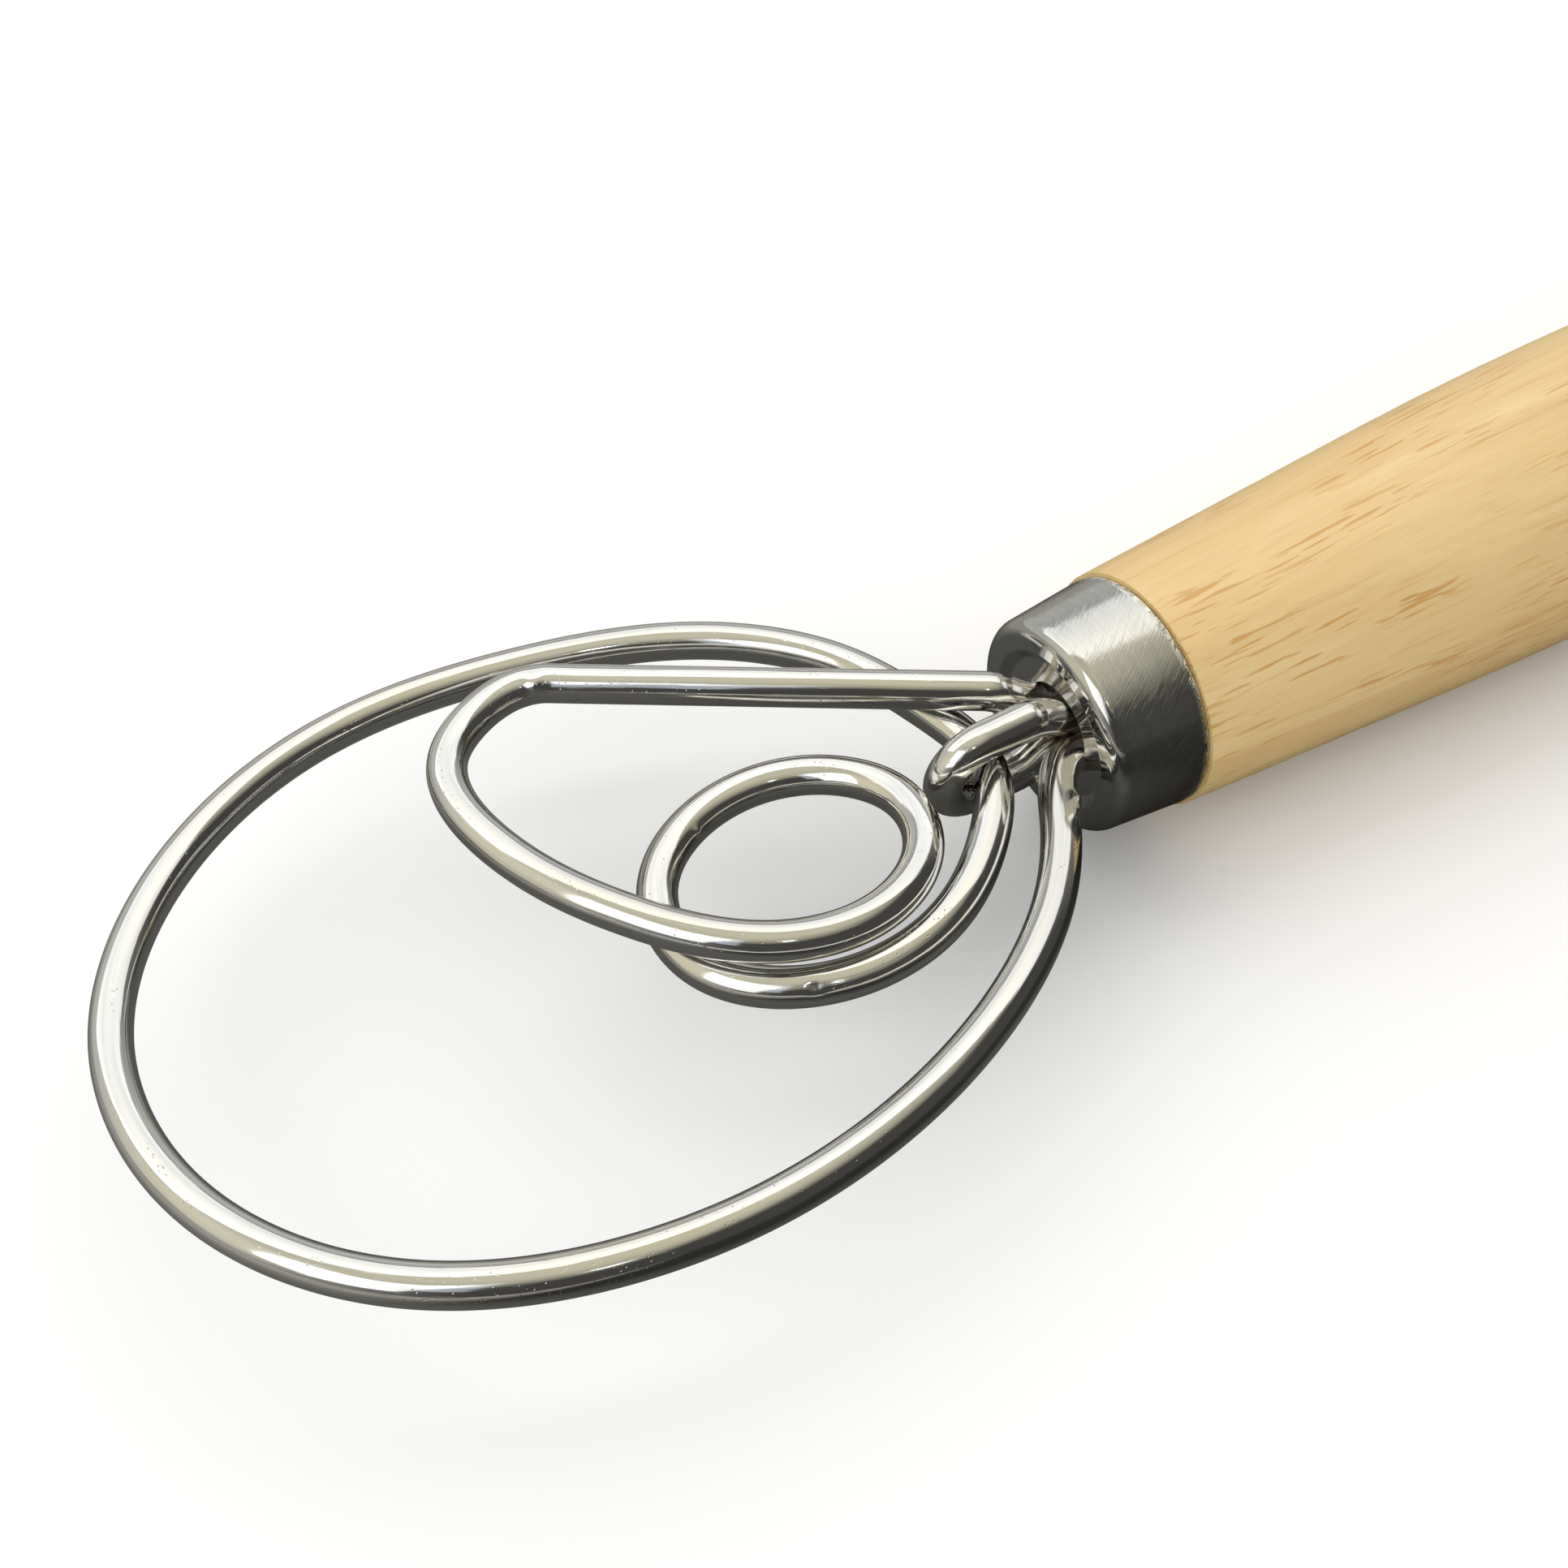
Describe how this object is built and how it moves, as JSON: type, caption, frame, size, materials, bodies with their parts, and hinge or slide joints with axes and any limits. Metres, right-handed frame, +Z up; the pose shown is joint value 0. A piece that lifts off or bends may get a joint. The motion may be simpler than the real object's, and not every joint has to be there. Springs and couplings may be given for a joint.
{
  "type": "dough whisk",
  "caption": "Hand whisk for stiff dough: one bent steel wire forming nested loops, held by a wire hook in a metal ferrule on a turned wooden handle.",
  "frame": {"origin": "centre of the object's underside: the middle of its length and width, level with the lowest line of the handle", "axes": "+X along the handle's axis towards the tip of the wire head, +Y across the head, +Z up, square to the plane of the head"},
  "size_m": [0.3318, 0.072, 0.03],
  "materials": {
    "wire_steel": "polished stainless steel with drawn streaks",
    "ferrule_steel": "polished stainless steel with fine brushing",
    "handle_wood": "satin lacquered pale hardwood",
    "bond_resin": "amber cured resin"
  },
  "bodies": {
    "root": {"whisk_wire": "wire_steel", "retaining_hook": "wire_steel", "ferrule": "ferrule_steel", "wood_handle": "handle_wood", "resin_plug": "bond_resin"}
  },
  "joints": []
}
